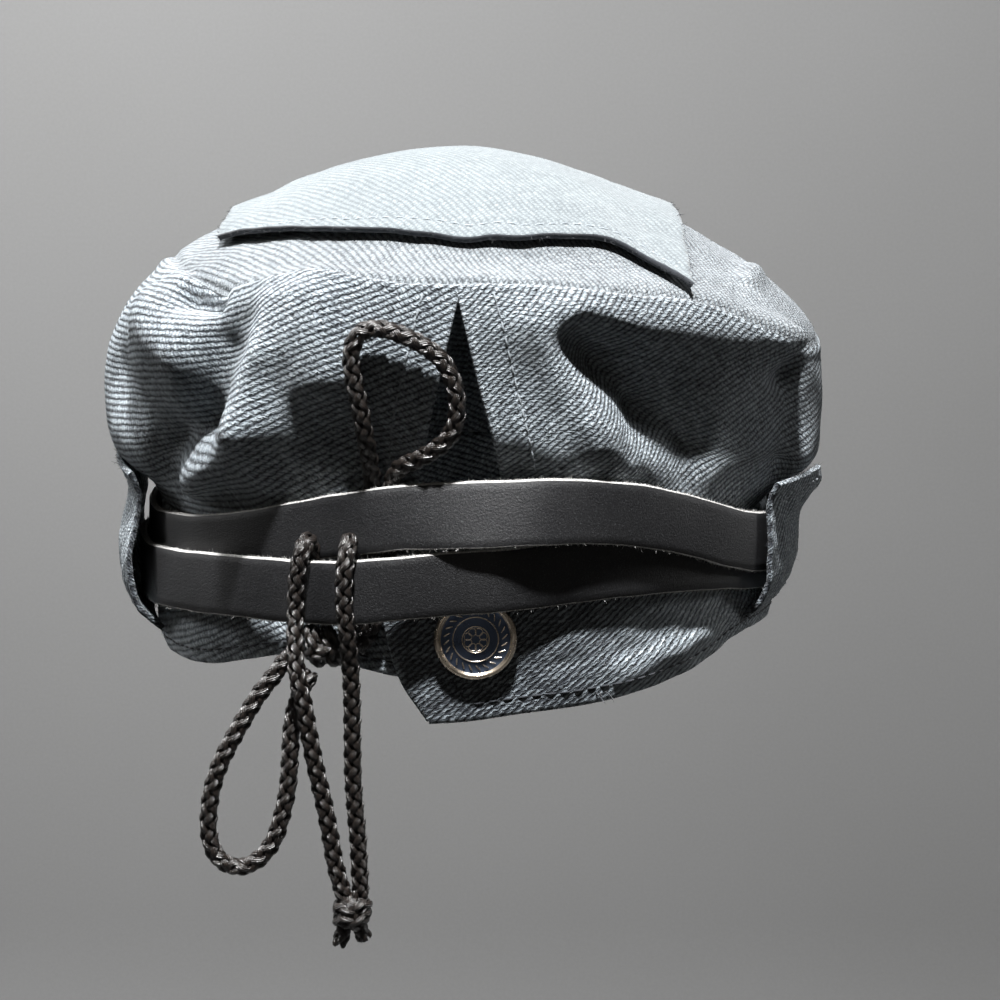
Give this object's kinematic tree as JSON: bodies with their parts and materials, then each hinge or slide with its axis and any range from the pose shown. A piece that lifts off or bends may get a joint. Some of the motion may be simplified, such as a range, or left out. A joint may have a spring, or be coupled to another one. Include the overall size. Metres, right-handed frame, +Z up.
{
  "type": "biker cap",
  "caption": "Denim biker cap with a full crown, raw-edged top panel, crossed leather straps, snap tab and a tied cord at the back.",
  "frame": {"origin": "centre of the head opening, level with the lowest point of the hem", "axes": "+Z up the head, +Y forward over the peak, +X to the right of the person wearing it"},
  "size_m": [0.1977, 0.2594, 0.1889],
  "materials": {
    "denim": "coarse washed grey-blue twill",
    "denim_top": "sun-faded grey-blue twill with raw edges",
    "leather": "black satin with pale cut edges",
    "nickel": "polished with a dark blue face",
    "cord": "glossy round braid"
  },
  "bodies": {
    "root": {"crown": "denim", "top_panel": "denim_top", "band": "denim", "strap_upper": "leather", "strap_lower": "leather", "loop_left": "denim", "loop_right": "denim", "peak": "denim", "button": "nickel", "cord_loop_up": "cord", "cord_loop_down": "cord", "cord_end_left": "cord", "cord_end_right": "cord", "bow_knot": "cord", "end_knot": "cord"}
  },
  "joints": []
}
